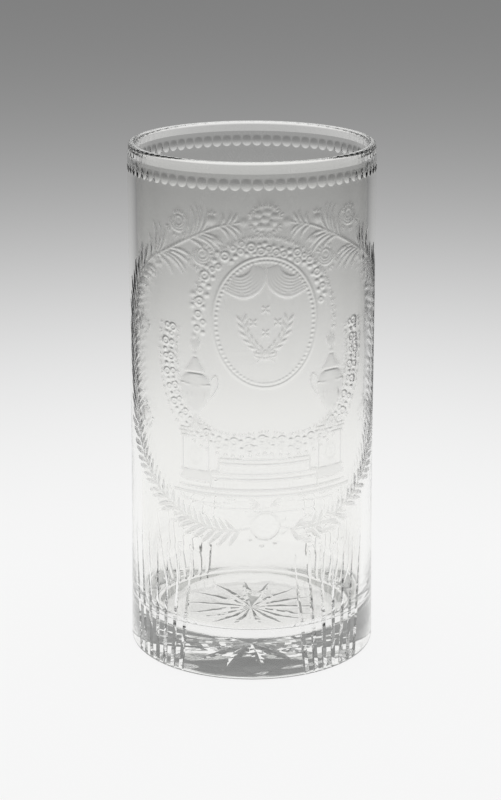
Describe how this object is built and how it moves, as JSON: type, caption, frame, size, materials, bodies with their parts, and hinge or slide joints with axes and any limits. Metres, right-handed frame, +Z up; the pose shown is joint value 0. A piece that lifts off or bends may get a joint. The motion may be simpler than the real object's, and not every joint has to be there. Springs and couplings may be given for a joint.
{
  "type": "glass beaker",
  "caption": "Tall cylindrical drinking beaker of clear cut glass with a bevelled rim, a band of ball cuts, sheaves of mitre flutes and a star-cut base.",
  "frame": {"origin": "centre of the flat ring under the base, on the surface that the beaker stands on", "axes": "+Z up along the beaker's axis, -Y towards the engraved front"},
  "size_m": [0.0698, 0.0698, 0.145],
  "materials": {
    "clear_glass": "polished clear glass, ground and polished in the cuts, matt in the engraving"
  },
  "bodies": {
    "root": {"beaker_body": "clear_glass"}
  },
  "joints": []
}
